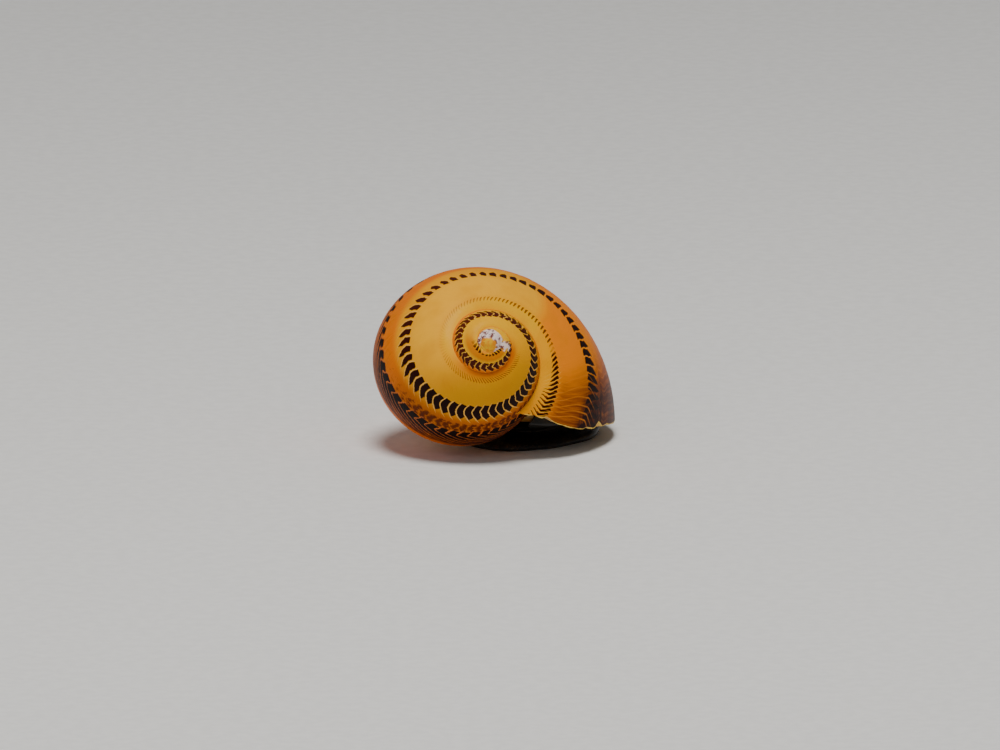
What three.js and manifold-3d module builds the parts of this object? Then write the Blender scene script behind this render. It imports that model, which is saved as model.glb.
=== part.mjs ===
// Nerite snail, life size, standing on the flat sole of its foot.
// Millimetres, +Z up. The shell is worked out round its pole, the first point of the coil.
// +X is to the right and +Y away from the side that shows the spire.

import * as THREE from "three";
import { mergeVertices } from "three/addons/utils/BufferGeometryUtils.js";
import { ConvexGeometry } from "three/addons/geometries/ConvexGeometry.js";
import Module from "manifold-3d";

const wasm = await Module();
wasm.setup();

// Shell, driving dimensions
const POLE_HEIGHT = 11.4; // pole of the coil above the floor
const SPIRE_RISE = 31.2; // degrees that the coil axis points up
const SPIRE_SWING = 12.1; // degrees that it swings to the right of the front
const COIL_ROLL = -4.5; // degrees, where the lip angle is counted from
const WHORL_GROWTH = 0.15; // growth of the coil for each radian
const WHORL_OUT = 7.08; // middle of the last whorl from the coil axis
const WHORL_DOWN = 13.14; // middle of the last whorl below the pole, along the axis
const WHORL_LONG = 9.03; // half length of the whorl's section
const WHORL_SHORT = 4.98; // half width of the whorl's section
const WHORL_TILT = 63.9; // degrees, lean of the section to the axis
const SUTURE_AT = -161.5; // degrees round the section, where it lies on the whorl before
const BASE_FROM = -12; // degrees round the section, where the rounded base begins
const BASE_DOWN = 23.4; // lowest point of the base below the pole, on the axis
const BASE_BULGE = 3.2; // how far the section runs straight on before the base curves in
const BASE_SHARE = 0.72; // share of the whorl's middle radius where the base turns level
const COIL_START = -1080; // degrees, first turn of the spire
const LAST_PART = -130; // degrees, where the last stretch before the lip begins
const COIL_END = 90; // degrees, further than any point of the lip
const CORE_GAP = 0.12; // radius that the coils leave open round the axis
const TIP_ROUND = 1.2; // how far the worn spire stops short of its pole
const KNOB_RADIUS = 0.98; // bald knob on the tip of the spire
const KNOB_PLACE = [-0.39, 1.46, -0.81]; // middle of the knob from the pole

// Lip, opening and deck
const LIP_LEVEL = -9.5; // lip below the pole
const LIP_RISE = 2.3; // how far the lip climbs where it meets the suture
const LIP_CORNER = [1.9, 2.6]; // where it meets the suture
const LIP_REACH = 4.5; // how far that climb reaches
const LIP_LIFT = 0.8; // how far the lip lifts over the head
const LIFT_FROM = 12; // where the lift begins, away from the pole
const LIFT_TO = 20;
const LIP_DIP = 0.6; // how far the lip hangs lower at the snail's right
const DIP_PLACE = [10.2, 13.8];
const DIP_REACH = 4;
const LIP_LOW = [-12, -6]; // corners of the area that the lip is cut over
const LIP_HIGH = [16, 26];
const OPENING_SHARE = 0.9; // share of the whorl's section that the opening takes
const OPENING_FROM = -100; // degrees of coil that the opening spans
const OPENING_TO = 95;
const DECK_EDGE = 5.6; // straight side of the opening, out from the coil axis
const OPENING_DEPTH = 3; // from the lip to the ceiling of the opening
const DECK_LINE = [[1.6, 3.4], [2.6, 7.5], [2.4, 11.5], [1.2, 15.5], [-0.6, 17.6], [-3.2, 16.6]];
const DECK_TALL = 2.2;
const DECK_FROM = -258; // degrees of coil that the deck's pad leans on
const DECK_TO = -168;
const DECK_SHARE = 0.965; // how deep the pad's far side lies in the whorl
const DECK_SPREAD = 34; // degrees round the section that it climbs

// Foot, an oval sole
const FOOT_MIDDLE = [3.1, 14.0];
const FOOT_HEADING = 62; // degrees from +X towards +Y
const FOOT_LONG = 6.8; // half length
const FOOT_WIDE = 5.4; // half width
const FOOT_TOP = 1.2;
const FOOT_EGG = 0.05; // how much blunter the head end of the sole is
const FOOT_BROAD = 0.03; // how much it broadens at its three corners
const FOOT_WAVE = 0.012; // waviness of its edge

// Rings of the foot: height, how far inside its half length and width
const FOOT_PROFILE = [
  [0, 0.3],
  [0.12, 0.05],
  [0.3, 0],
  [0.5, 0.12],
  [0.75, 0.65],
  [1, 1.35],
  [FOOT_TOP, 2.1],
];

// Body between the foot and the shell. Levels: height, middle, half length, half width
const COLUMN_HEADING = 70;
const COLUMN_LEVELS = [
  [FOOT_TOP + 0.3, 3.3, 13.9, 4.8, 3.2],
  [FOOT_TOP + 0.8, 3.9, 13.2, 6.3, 4.2],
  [FOOT_TOP + 1.6, 4.9, 12.2, 8.2, 5.4],
  [FOOT_TOP + 2.8, 5.2, 11.6, 10, 7],
  [FOOT_TOP + 6, 5.2, 11.6, 10.5, 7.5],
];

// Head, with its heading turned to the snail's left. Stations: place, half width, bottom, top
const HEAD_MIDDLE = [7.3, 21.3];
const HEAD_HEADING = 86;
const HEAD_STATIONS = [
  [-3.6, 1.2, 1.62, 2.05],
  [-2.9, 1.3, 1.4, 2.2],
  [-2.0, 1.4, 0.9, 2.25],
  [-1.2, 1.55, 0.5, 2.3],
  [-0.4, 1.72, 0.3, 2.42],
  [0.3, 1.75, 0.2, 2.45],
  [0.9, 1.62, 0.14, 2.3],
  [1.4, 1.5, 0.12, 1.98],
  [1.9, 1.46, 0.12, 1.66],
  [2.3, 1.36, 0.14, 1.32],
  [2.6, 1.1, 0.2, 1.02],
  [2.75, 0.78, 0.3, 0.82],
];
const BROW_FROM = 1.8; // where the front of the snout begins to round off
const BROW_BEND = 0.18; // how far its middle lies back for each millimetre past there
const SNOUT_FROM = 1.35; // where the snout parts from the head
const SQUARENESS = 0.9; // below 1 the head's section is squarer than an ellipse

const TENTACLE_LENGTH = 4.6;
const TENTACLE_RADIUS = 0.4;
const TENTACLE_TIP = 0.13;
const TENTACLE_TAPER = 0.85; // below 1 it thins sooner
const TENTACLE_START = [0.75, 0.95, 1.78]; // along the head, to its side, and up
const TENTACLE_SWING = { left: 24, right: -2 }; // degrees from the head's own heading
const TENTACLE_SHARE = { left: 1, right: 0.93 }; // share of the full length
const TENTACLE_RISE = 1.0;
const TENTACLE_DROOP = 0.9; // how far the tip comes down again
const TENTACLE_CUTS = [0, 0.36, 0.7, 1]; // shares of the length
const TENTACLE_ROOT = 0.15; // share of the length sunk in the head
const STALK_START = [0.1, 1.0, 1.95]; // along the head, to its side, and up
const STALK_END = [0.22, 1.95, 2.5];
const STALK_RADII = [[0, 0.42], [0.4, 0.4], [0.75, 0.38], [0.93, 0.33], [1, 0.2]];
const EYE_RADIUS = 0.25;
const MOUTH_WIDE = 0.8; // half width
const MOUTH_HEIGHT = 0.5;
const MOUTH_OPEN = 0.1;
const MOUTH_BEND = 0.3; // how far its corners lie back
const MOUTH_DROP = 0.16; // how far its corners hang down
const MOUTH_DEPTH = 0.5;
const MOUTH_CORNER = 0.15; // share of its height that is left at its corners
const MOUTH_INNER = 0.3; // share of its height at its inner end

// Operculum, lying on the tail of the foot
const OPERCULUM_MIDDLE = [-0.2, 10.2, 1.3];
const OPERCULUM_WIDE = 0.95;
const OPERCULUM_LONG = 1.5;
const OPERCULUM_TILT = 14; // degrees, lower towards the tail
const OPERCULUM_THICK = 0.3;

const GAP = 0.3; // between touching pieces
const FINE_GAP = 0.15; // between the small pieces of the head
const SLAB_WIDE = 14; // wide enough to cut right across the head
const SHELL_SIDES = 40;
const SHELL_STEP = 10; // degrees of coil between rings
const OPENING_STEP = 15; // the same in the opening
const LIP_CELLS = 18; // cells along each side of the area that the lip is cut over
const STRETCH = 130; // degrees of coil joined at a time
const ARC_SHARE = 0.62; // share of the section's points that lie on its arc
const FEELER_SIDES = 14;

const rad = THREE.MathUtils.degToRad;
const lerp = THREE.MathUtils.lerp;
const clamp = THREE.MathUtils.clamp;

// Solids from rings of points

function toSolid(geometry) {
  const bare = geometry.index ? geometry.toNonIndexed() : geometry.clone();
  bare.deleteAttribute("normal");
  bare.deleteAttribute("uv");
  const merged = mergeVertices(bare, 1e-5);
  const mesh = new wasm.Mesh({
    numProp: 3,
    vertProperties: new Float32Array(merged.attributes.position.array),
    triVerts: new Uint32Array(merged.index.array),
  });
  return new wasm.Manifold(mesh);
}

function ringSolid(rings) {
  const count = rings[0].length;
  const points = rings.flat();
  const faces = [];
  for (let r = 0; r + 1 < rings.length; r++) {
    for (let i = 0; i < count; i++) {
      const j = (i + 1) % count;
      const a = r * count + i;
      const b = r * count + j;
      const c = a + count;
      const d = b + count;
      faces.push(a, b, d);
      faces.push(a, d, c);
    }
  }
  const ends = [rings[0], rings[rings.length - 1]];
  ends.forEach((ring, side) => {
    const middle = ring.reduce((sum, p) => sum.add(p), new THREE.Vector3()).divideScalar(count);
    points.push(middle);
    const m = points.length - 1;
    const first = side === 0 ? 0 : (rings.length - 1) * count;
    for (let i = 0; i < count; i++) {
      const j = (i + 1) % count;
      if (side === 0) faces.push(m, first + j, first + i);
      else faces.push(m, first + i, first + j);
    }
  });
  if (signedVolume(points, faces) < 0) {
    for (let f = 0; f < faces.length; f += 3) {
      [faces[f], faces[f + 1]] = [faces[f + 1], faces[f]];
    }
  }
  const geometry = new THREE.BufferGeometry();
  geometry.setFromPoints(points);
  geometry.setIndex(faces);
  return toSolid(geometry);
}

function signedVolume(points, faces) {
  let sum = 0;
  for (let f = 0; f < faces.length; f += 3) {
    const [a, b, c] = [points[faces[f]], points[faces[f + 1]], points[faces[f + 2]]];
    sum += a.dot(new THREE.Vector3().crossVectors(b, c)) / 6;
  }
  return sum;
}

function toGeometry(solid) {
  const parts = solid.decompose();
  parts.sort((a, b) => b.volume() - a.volume());
  const mesh = parts[0].getMesh();
  const geometry = new THREE.BufferGeometry();
  geometry.setAttribute("position", new THREE.BufferAttribute(new Float32Array(mesh.vertProperties), 3));
  geometry.setIndex(new THREE.BufferAttribute(new Uint32Array(mesh.triVerts), 1));
  return geometry;
}

// Coil

const axis = new THREE.Vector3(
  Math.sin(rad(SPIRE_SWING)) * Math.cos(rad(SPIRE_RISE)),
  -Math.cos(rad(SPIRE_SWING)) * Math.cos(rad(SPIRE_RISE)),
  Math.sin(rad(SPIRE_RISE)),
);
const level = new THREE.Vector3(Math.cos(rad(SPIRE_SWING)), Math.sin(rad(SPIRE_SWING)), 0);
const across = new THREE.Vector3().crossVectors(axis, level);
const pole = new THREE.Vector3(0, 0, POLE_HEIGHT);

function onCoil(turn, out, down) {
  const size = Math.exp(WHORL_GROWTH * rad(turn));
  const angle = rad(COIL_ROLL - turn);
  const depth = Math.cbrt((down * size) ** 3 + TIP_ROUND ** 3);
  return pole
    .clone()
    .addScaledVector(level, out * size * Math.cos(angle))
    .addScaledVector(across, out * size * Math.sin(angle))
    .addScaledVector(axis, -depth);
}

function sectionPoint(u, share = 1) {
  const x = WHORL_LONG * share * Math.cos(rad(u));
  const y = WHORL_SHORT * share * Math.sin(rad(u));
  const lean = rad(WHORL_TILT);
  return [
    WHORL_OUT + x * Math.cos(lean) - y * Math.sin(lean),
    WHORL_DOWN + x * Math.sin(lean) + y * Math.cos(lean),
  ];
}

function wholeSection() {
  const points = [];
  const arc = Math.round(SHELL_SIDES * ARC_SHARE);
  for (let i = 0; i <= arc; i++) {
    points.push(sectionPoint(lerp(SUTURE_AT, BASE_FROM, i / arc)));
  }
  const start = new THREE.Vector2(...sectionPoint(BASE_FROM));
  const before = new THREE.Vector2(...sectionPoint(BASE_FROM - 1));
  const heading = start.clone().sub(before).normalize();
  const base = new THREE.CubicBezierCurve(
    start,
    start.clone().addScaledVector(heading, BASE_BULGE),
    new THREE.Vector2(WHORL_OUT * BASE_SHARE, BASE_DOWN),
    new THREE.Vector2(CORE_GAP, BASE_DOWN),
  );
  const rest = SHELL_SIDES - arc - 2;
  for (let i = 1; i <= rest; i++) {
    const p = base.getPoint(i / rest);
    points.push([p.x, p.y]);
  }
  points.push([CORE_GAP, sectionPoint(SUTURE_AT)[1]]);
  return points;
}

function coilStretch(section, from, to, step = SHELL_STEP) {
  const count = Math.ceil((to - from) / step);
  const rings = [];
  for (let i = 0; i <= count; i++) {
    const turn = lerp(from, to, i / count);
    rings.push(section.map(([out, down]) => onCoil(turn, out, down)));
  }
  return ringSolid(rings);
}

function lipLevel(x, y) {
  const near = ([px, py], reach) => Math.exp(-((x - px) ** 2 + (y - py) ** 2) / reach ** 2);
  const front = Math.max(0, y - LIFT_FROM) / (LIFT_TO - LIFT_FROM);
  const raised = LIP_RISE * near(LIP_CORNER, LIP_REACH) + LIP_LIFT * front * front;
  return POLE_HEIGHT + LIP_LEVEL + raised - LIP_DIP * near(DIP_PLACE, DIP_REACH);
}

function belowLip(drop = 0) {
  const bottom = -POLE_HEIGHT;
  const rings = [];
  for (let i = 0; i <= LIP_CELLS; i++) {
    const x = lerp(LIP_LOW[0], LIP_HIGH[0], i / LIP_CELLS);
    const ring = [];
    for (let j = 0; j <= LIP_CELLS; j++) {
      const y = lerp(LIP_LOW[1], LIP_HIGH[1], j / LIP_CELLS);
      ring.push(new THREE.Vector3(x, y, lipLevel(x, y) - drop));
    }
    ring.push(new THREE.Vector3(x, LIP_HIGH[1], bottom));
    ring.push(new THREE.Vector3(x, LIP_LOW[1], bottom));
    rings.push(ring);
  }
  return ringSolid(rings);
}

function openingSection(inset) {
  const share = OPENING_SHARE - inset / WHORL_SHORT;
  return wholeSection().map(([out, down]) => [
    Math.max(WHORL_OUT + (out - WHORL_OUT) * share, DECK_EDGE + inset),
    WHORL_DOWN + (down - WHORL_DOWN) * share,
  ]);
}

function openingSolid(inset) {
  const inside = coilStretch(openingSection(inset), OPENING_FROM, OPENING_TO, OPENING_STEP);
  return inside.intersect(belowLip(inset - OPENING_DEPTH));
}

function hullSolid(points) {
  return toSolid(new ConvexGeometry(points));
}

// The deck is a smooth pad from the straight side of the opening to the base of the coil
function deckSolid() {
  const points = [];
  DECK_LINE.forEach(([x, y]) => {
    points.push(new THREE.Vector3(x, y, lipLevel(x, y)));
    points.push(new THREE.Vector3(x, y, lipLevel(x, y) + DECK_TALL));
  });
  for (let turn = DECK_FROM; turn <= DECK_TO; turn += SHELL_STEP) {
    const climb = (turn - DECK_FROM) / (DECK_TO - DECK_FROM);
    points.push(onCoil(turn, ...sectionPoint(DECK_SPREAD * climb, DECK_SHARE)));
  }
  return hullSolid(points);
}

function knobSolid() {
  const geometry = new THREE.SphereGeometry(KNOB_RADIUS, 20, 14);
  geometry.translate(KNOB_PLACE[0], KNOB_PLACE[1], POLE_HEIGHT + KNOB_PLACE[2]);
  return toSolid(geometry);
}

function buildShell() {
  const section = wholeSection();
  let shell = coilStretch(section, LAST_PART, COIL_END).subtract(belowLip());
  for (let from = COIL_START; from < LAST_PART; from += STRETCH) {
    const to = Math.min(from + STRETCH, LAST_PART) + SHELL_STEP;
    shell = shell.add(coilStretch(section, from, to));
  }
  return shell.add(knobSolid()).add(deckSolid()).subtract(openingSolid(0));
}

// Foot

function footRing(z, inset, extra) {
  const ring = [];
  const count = 40;
  const heading = rad(FOOT_HEADING);
  for (let i = 0; i < count; i++) {
    const t = (i / count) * Math.PI * 2;
    const wavy = FOOT_WAVE * Math.cos(9 * t + 1);
    const blunt = 1 - FOOT_EGG * Math.cos(t) - FOOT_BROAD * Math.cos(3 * t) + wavy;
    const along = (FOOT_LONG - inset + extra) * Math.cos(t) * blunt;
    const side = (FOOT_WIDE - inset + extra) * Math.sin(t) * blunt;
    ring.push(
      new THREE.Vector3(
        FOOT_MIDDLE[0] + along * Math.cos(heading) - side * Math.sin(heading),
        FOOT_MIDDLE[1] + along * Math.sin(heading) + side * Math.cos(heading),
        z,
      ),
    );
  }
  return ring;
}

function footSolid(extra) {
  const rings = FOOT_PROFILE.map(([z, inset]) => footRing(z + (z > 0 ? extra : -extra), inset, extra));
  return ringSolid(rings);
}

// Body column between the foot and the opening of the shell

function columnSolid() {
  const sides = 36;
  const heading = rad(COLUMN_HEADING);
  const rings = COLUMN_LEVELS.map(([z, x, y, long, wide]) => {
    const ring = [];
    for (let i = 0; i < sides; i++) {
      const t = (i / sides) * Math.PI * 2;
      const along = long * Math.cos(t);
      const side = wide * Math.sin(t);
      ring.push(
        new THREE.Vector3(
          x + along * Math.cos(heading) - side * Math.sin(heading),
          y + along * Math.sin(heading) + side * Math.cos(heading),
          z,
        ),
      );
    }
    return ring;
  });
  return ringSolid(rings);
}

// Head

function headPoint(along, side, z) {
  const heading = rad(HEAD_HEADING);
  return new THREE.Vector3(
    HEAD_MIDDLE[0] + along * Math.cos(heading) + side * Math.sin(heading),
    HEAD_MIDDLE[1] + along * Math.sin(heading) - side * Math.cos(heading),
    z,
  );
}

function headSolid(extra) {
  const sides = 28;
  const square = (value) => Math.sign(value) * Math.abs(value) ** SQUARENESS;
  const rings = HEAD_STATIONS.map(([along, wide, low, high]) => {
    const ring = [];
    for (let i = 0; i < sides; i++) {
      const t = (i / sides) * Math.PI * 2;
      const side = square(Math.cos(t)) * (wide + extra);
      const lift = square(Math.sin(t)) * ((high - low) / 2 + extra);
      const back = BROW_BEND * Math.max(along - BROW_FROM, 0) * (1 - (side / wide) ** 2);
      ring.push(headPoint(along - back, side, (high + low) / 2 + lift));
    }
    return ring;
  });
  return ringSolid(rings);
}

// A wide slab across the head
function slab(from, to) {
  const along = (from + to) / 2;
  const geometry = new THREE.BoxGeometry(to - from, SLAB_WIDE, SLAB_WIDE);
  geometry.rotateZ(rad(HEAD_HEADING));
  const p = headPoint(along, 0, 1);
  geometry.translate(p.x, p.y, p.z);
  return toSolid(geometry);
}

// Tapered feeler along a bent line, from one share of its length to another
function feeler(side, from, to, extra = 0) {
  const name = side < 0 ? "left" : "right";
  const [along, out, lift] = TENTACLE_START;
  const start = headPoint(along, side * out, lift);
  const rings = [];
  const steps = 6;
  for (let i = 0; i <= steps; i++) {
    const t = lerp(from, to, i / steps);
    const turn = rad(HEAD_HEADING + TENTACLE_SWING[name] * (0.7 + 0.5 * t));
    const reach = TENTACLE_LENGTH * TENTACLE_SHARE[name] * t;
    const middle = start.clone();
    middle.x += reach * Math.cos(turn);
    middle.y += reach * Math.sin(turn);
    middle.z += TENTACLE_RISE * t - TENTACLE_DROOP * t * t;
    const radius = lerp(TENTACLE_RADIUS, TENTACLE_TIP, Math.max(t, 0) ** TENTACLE_TAPER) + extra;
    const aside = new THREE.Vector3(-Math.sin(turn), Math.cos(turn), 0);
    const ring = [];
    for (let j = 0; j < FEELER_SIDES; j++) {
      const a = (j / FEELER_SIDES) * Math.PI * 2;
      const point = middle.clone().addScaledVector(aside, radius * Math.cos(a));
      point.z += radius * Math.sin(a);
      ring.push(point);
    }
    rings.push(ring);
  }
  return ringSolid(rings);
}

function stalkPlace(side, t) {
  const [along, out, lift] = STALK_START.map((value, i) => lerp(value, STALK_END[i], t));
  return headPoint(along, side * out, lift);
}

function eyeStalk(side, extra = 0) {
  const start = stalkPlace(side, 0);
  const end = stalkPlace(side, 1);
  const heading = end.clone().sub(start).normalize();
  const right = new THREE.Vector3(0, 0, 1).cross(heading).normalize();
  const up = new THREE.Vector3().crossVectors(heading, right);
  const rings = STALK_RADII.map(([t, radius]) => {
    const middle = start.clone().lerp(end, t).addScaledVector(heading, t === 1 ? extra : 0);
    const ring = [];
    for (let j = 0; j < FEELER_SIDES; j++) {
      const a = (j / FEELER_SIDES) * Math.PI * 2;
      const reach = radius + extra;
      const point = middle.clone().addScaledVector(right, reach * Math.cos(a));
      ring.push(point.addScaledVector(up, reach * Math.sin(a)));
    }
    return ring;
  });
  return ringSolid(rings);
}

// Eye, a ball in the hollow end of its stalk
function eyeBall(side, extra = 0) {
  const geometry = new THREE.SphereGeometry(EYE_RADIUS + extra, 16, 12);
  geometry.translate(...stalkPlace(side, 1));
  return toSolid(geometry);
}

// Mouth, a curved slit low on the front of the snout
function mouthCut() {
  const rings = [];
  const steps = 12;
  for (let i = 0; i <= steps; i++) {
    const t = lerp(-1, 1, i / steps);
    const front = HEAD_STATIONS[HEAD_STATIONS.length - 1][0];
    const middle = headPoint(front - MOUTH_BEND * t * t, MOUTH_WIDE * t, MOUTH_HEIGHT - MOUTH_DROP * t * t);
    const half = MOUTH_OPEN * (1 + MOUTH_CORNER - t * t);
    const ring = [
      [MOUTH_DEPTH, -half],
      [MOUTH_DEPTH, half],
      [-MOUTH_DEPTH, half * MOUTH_INNER],
      [-MOUTH_DEPTH, -half * MOUTH_INNER],
    ].map(([along, lift]) => {
      const shift = headPoint(along, 0, 0).sub(headPoint(0, 0, 0));
      return middle.clone().add(shift).add(new THREE.Vector3(0, 0, lift));
    });
    rings.push(ring);
  }
  return ringSolid(rings);
}

// Operculum, a thin D lying on the tail of the foot
function operculumSolid(extra) {
  const shape = new THREE.Shape();
  const wide = OPERCULUM_WIDE;
  const long = OPERCULUM_LONG;
  shape.moveTo(-wide, -long);
  shape.bezierCurveTo(wide, -long, 1.4 * wide, 0.9 * long, -0.75 * wide, 1.1 * long);
  shape.bezierCurveTo(-1.2 * wide, 0.5 * long, -1.3 * wide, -0.5 * long, -wide, -long);
  const depth = OPERCULUM_THICK + 2 * extra;
  const geometry = new THREE.ExtrudeGeometry(shape, { depth, bevelEnabled: false, curveSegments: 14 });
  geometry.translate(0, 0, -depth / 2);
  geometry.scale(1 + extra / wide, 1 + extra / long, 1);
  geometry.rotateY(rad(-OPERCULUM_TILT));
  geometry.rotateZ(rad(FOOT_HEADING));
  geometry.translate(...OPERCULUM_MIDDLE);
  return toSolid(geometry);
}

const shellMaterial = new THREE.MeshStandardMaterial({ color: 0xd98a1e, roughness: 0.35, metalness: 0 });
const fleshMaterial = new THREE.MeshStandardMaterial({ color: 0x1c1714, roughness: 0.45, metalness: 0 });
const eyeMaterial = new THREE.MeshStandardMaterial({ color: 0x050505, roughness: 0.1, metalness: 0 });
const operculumMaterial = new THREE.MeshStandardMaterial({ color: 0x9c8474, roughness: 0.4, metalness: 0 });

const model = new THREE.Group();
model.name = "nerite_snail";

function addNode(name, solid, material) {
  const mesh = new THREE.Mesh(toGeometry(solid), material);
  mesh.name = name;
  model.add(mesh);
}

addNode("shell", buildShell(), shellMaterial);
addNode("foot", footSolid(0), fleshMaterial);

const neckPocket = headSolid(GAP);
const body = openingSolid(GAP).intersect(columnSolid()).subtract(neckPocket).subtract(operculumSolid(GAP));
addNode("body", body, fleshMaterial);

const wholeHead = headSolid(0).subtract(footSolid(GAP));
const far = SLAB_WIDE;
const parting = FINE_GAP / 2;
addNode("head", wholeHead.subtract(slab(SNOUT_FROM - parting, far)), fleshMaterial);
addNode("snout", wholeHead.subtract(slab(-far, SNOUT_FROM + parting)).subtract(mouthCut()), fleshMaterial);

const headFit = headSolid(FINE_GAP);
[-1, 1].forEach((side) => {
  const name = side < 0 ? "left" : "right";
  const lengths = ["base", "middle", "tip"];
  lengths.forEach((length, i) => {
    const trim = FINE_GAP / TENTACLE_LENGTH;
    const from = TENTACLE_CUTS[i] - (i ? 0 : TENTACLE_ROOT);
    const piece = feeler(side, from, TENTACLE_CUTS[i + 1] - (i < 2 ? trim : 0));
    addNode(`tentacle_${name}_${length}`, i ? piece : piece.subtract(headFit), fleshMaterial);
  });
  const beside = feeler(side, -TENTACLE_ROOT, 0.5, FINE_GAP);
  const stalk = eyeStalk(side).subtract(headFit).subtract(beside).subtract(eyeBall(side, FINE_GAP));
  addNode(`eye_stalk_${name}`, stalk, fleshMaterial);
  addNode(`eye_${name}`, eyeBall(side), eyeMaterial);
});

addNode("operculum", operculumSolid(0).subtract(footSolid(FINE_GAP)), operculumMaterial);

// The origin goes to the middle of the model's box, on the floor
const box = new THREE.Box3().setFromObject(model);
const middle = box.getCenter(new THREE.Vector3());
model.position.set(-middle.x, -middle.y, -box.min.z);

export default model;
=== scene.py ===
import math
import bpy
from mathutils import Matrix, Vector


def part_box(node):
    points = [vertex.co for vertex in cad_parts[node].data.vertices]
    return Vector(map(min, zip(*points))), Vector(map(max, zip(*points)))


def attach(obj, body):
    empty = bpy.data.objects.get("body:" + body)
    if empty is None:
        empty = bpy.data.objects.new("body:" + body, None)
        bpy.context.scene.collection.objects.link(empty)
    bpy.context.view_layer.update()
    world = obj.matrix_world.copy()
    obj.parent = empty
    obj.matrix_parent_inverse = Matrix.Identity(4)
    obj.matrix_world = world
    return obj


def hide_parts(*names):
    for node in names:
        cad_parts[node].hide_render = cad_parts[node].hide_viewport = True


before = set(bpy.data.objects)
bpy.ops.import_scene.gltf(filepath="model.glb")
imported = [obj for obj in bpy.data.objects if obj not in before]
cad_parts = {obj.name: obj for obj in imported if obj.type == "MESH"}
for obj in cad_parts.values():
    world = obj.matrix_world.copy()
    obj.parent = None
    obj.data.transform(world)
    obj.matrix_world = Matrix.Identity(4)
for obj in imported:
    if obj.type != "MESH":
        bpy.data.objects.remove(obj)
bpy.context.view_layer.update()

from types import SimpleNamespace

import bmesh
import bpy
import numpy as np
from mathutils import Matrix, Vector

# Nerite snail, life size. Shapes are worked out in millimetres, up from the floor and, in plan, from
# the pole, where the shell's coil begins. They are set into the frame in metres at the end.
# Angles are in degrees. Turn counts along the coil: the lip is near 0, and older shell is below 0.

MM = 0.001

# Coil of the shell
POLE_HEIGHT = 11.4
SPIRE_RISE = 31.2  # of the coil's axis, up and to the side
SPIRE_SWING = 12.1
COIL_ROLL = -4.5
GROWTH = 0.15  # in size, for each radian of turn
WHORL_OUT = 7.08  # middle of the section at turn 0, out from the axis and down along it
WHORL_DOWN = 13.14
WHORL_LONG = 9.03  # its half axes
WHORL_SHORT = 4.98
WHORL_TILT = 63.9
SUTURE_AT = -161.5  # place round the section at the suture
BASE_FROM = -12.0  # and where the base's curve begins
BASE_DOWN = 23.4
BASE_PULL = 3.2
BASE_BEND = 0.72
BASE_SPAN = 90.0  # degrees that the count round the section goes on over the base
BASE_TURNS = -420  # whorls before this show no base
BASE_LIMIT = 150.0
COIL_START = -1080
COIL_END = 84
LAST_PART = -132  # from here on the lip cuts it
STRETCH = 132
CORE_GAP = 0.12
TIP_ROUND = 1.2  # how far the worn spire stops short of its pole
KNOB_RADIUS = 0.98
KNOB_PLACE = (-0.39, 1.46, -0.81)  # middle of the bald knob, from the pole
KNOB_HEART = np.array((-0.16, -0.95, -0.15))  # its yellow middle, from the knob's own
WORN_PATCH = np.array((1.21, -0.1, -0.3))

# Lip, opening and deck
LIP_LEVEL = -9.5  # from the pole
LIP_RISE = 2.3  # of its corner by the suture
LIP_CORNER = (1.9, 2.6)
LIP_REACH = 4.5
LIP_LIFT = 0.8  # over the head
LIFT_FROM = 12.0
LIFT_TO = 20.0
LIP_DIP = 0.6
DIP_PLACE = (10.2, 13.8)
DIP_REACH = 4.0
LIP_NOTCHES = [  # x, y, rise and reach
    (8.72, 8.0, 0.5, 0.42), (9.35, 9.6, 0.12, 0.5), (7.75, 6.4, 0.14, 0.5), (4.45, 3.3, 0.22, 0.4),
]
LIP_RIPPLES = [(1.0, 4.1, 2.3, 0.0), (0.7, 6.7, -5.3, 1.0), (0.4, 3.0, 9.9, 0.0)]  # size, x, y and start
LIP_TURNS = (-100.0, 80.0)
CUT_X = (-12.0, 16.0)
CUT_Y = (-6.0, 26.0)
CUT_CELL = 0.12
OPENING_SHARE = 0.9
OPENING_DEPTH = 3.0
OPENING_TURNS = (-100, 95)
DECK_EDGE = 5.6
DECK_PLAN = [(1.6, 3.4), (2.6, 7.5), (2.4, 11.5), (1.2, 15.5), (-0.6, 17.6), (-3.2, 16.6)]
DECK_ROOT = (-258, -168)  # turns of the older whorl

# Mesh of the shell
ROW_STEP = 1.0
ARC_CELLS = 120
BASE_CELLS = 60


# Helpers for numbers

def smooth(value, low, high):
    """0 up to low and 1 from high on, or the other way round where low is above high."""
    t = np.clip((value - low) / (high - low), 0.0, 1.0)
    return t * t * (3.0 - 2.0 * t)


def between(value, window):
    """1 inside a window of (from, to, soft), and 0 outside it."""
    start, end, soft = window
    begun = smooth(value, start - soft / 2, start + soft / 2)
    return begun * smooth(value, end + soft / 2, end - soft / 2)


def curve(value, knots, soft=6.0):
    """A curve through (place, size) knots, rounded off over soft degrees on both sides."""
    places = [k[0] for k in knots]
    sizes = [k[1] for k in knots]
    shifts = np.linspace(-soft, soft, 5)
    return np.mean([np.interp(value + shift, places, sizes) for shift in shifts], axis=0)


def bezier(points, t):
    weights = [(1 - t) ** 3, 3 * t * (1 - t) ** 2, 3 * t * t * (1 - t), t ** 3]
    return sum(np.multiply.outer(weight, np.array(point)) for weight, point in zip(weights, points))


def turned(along, side, heading):
    """A way along a heading and to its left, as x and y."""
    c, s = math.cos(math.radians(heading)), math.sin(math.radians(heading))
    return along * c - side * s, along * s + side * c


# Coil

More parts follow.
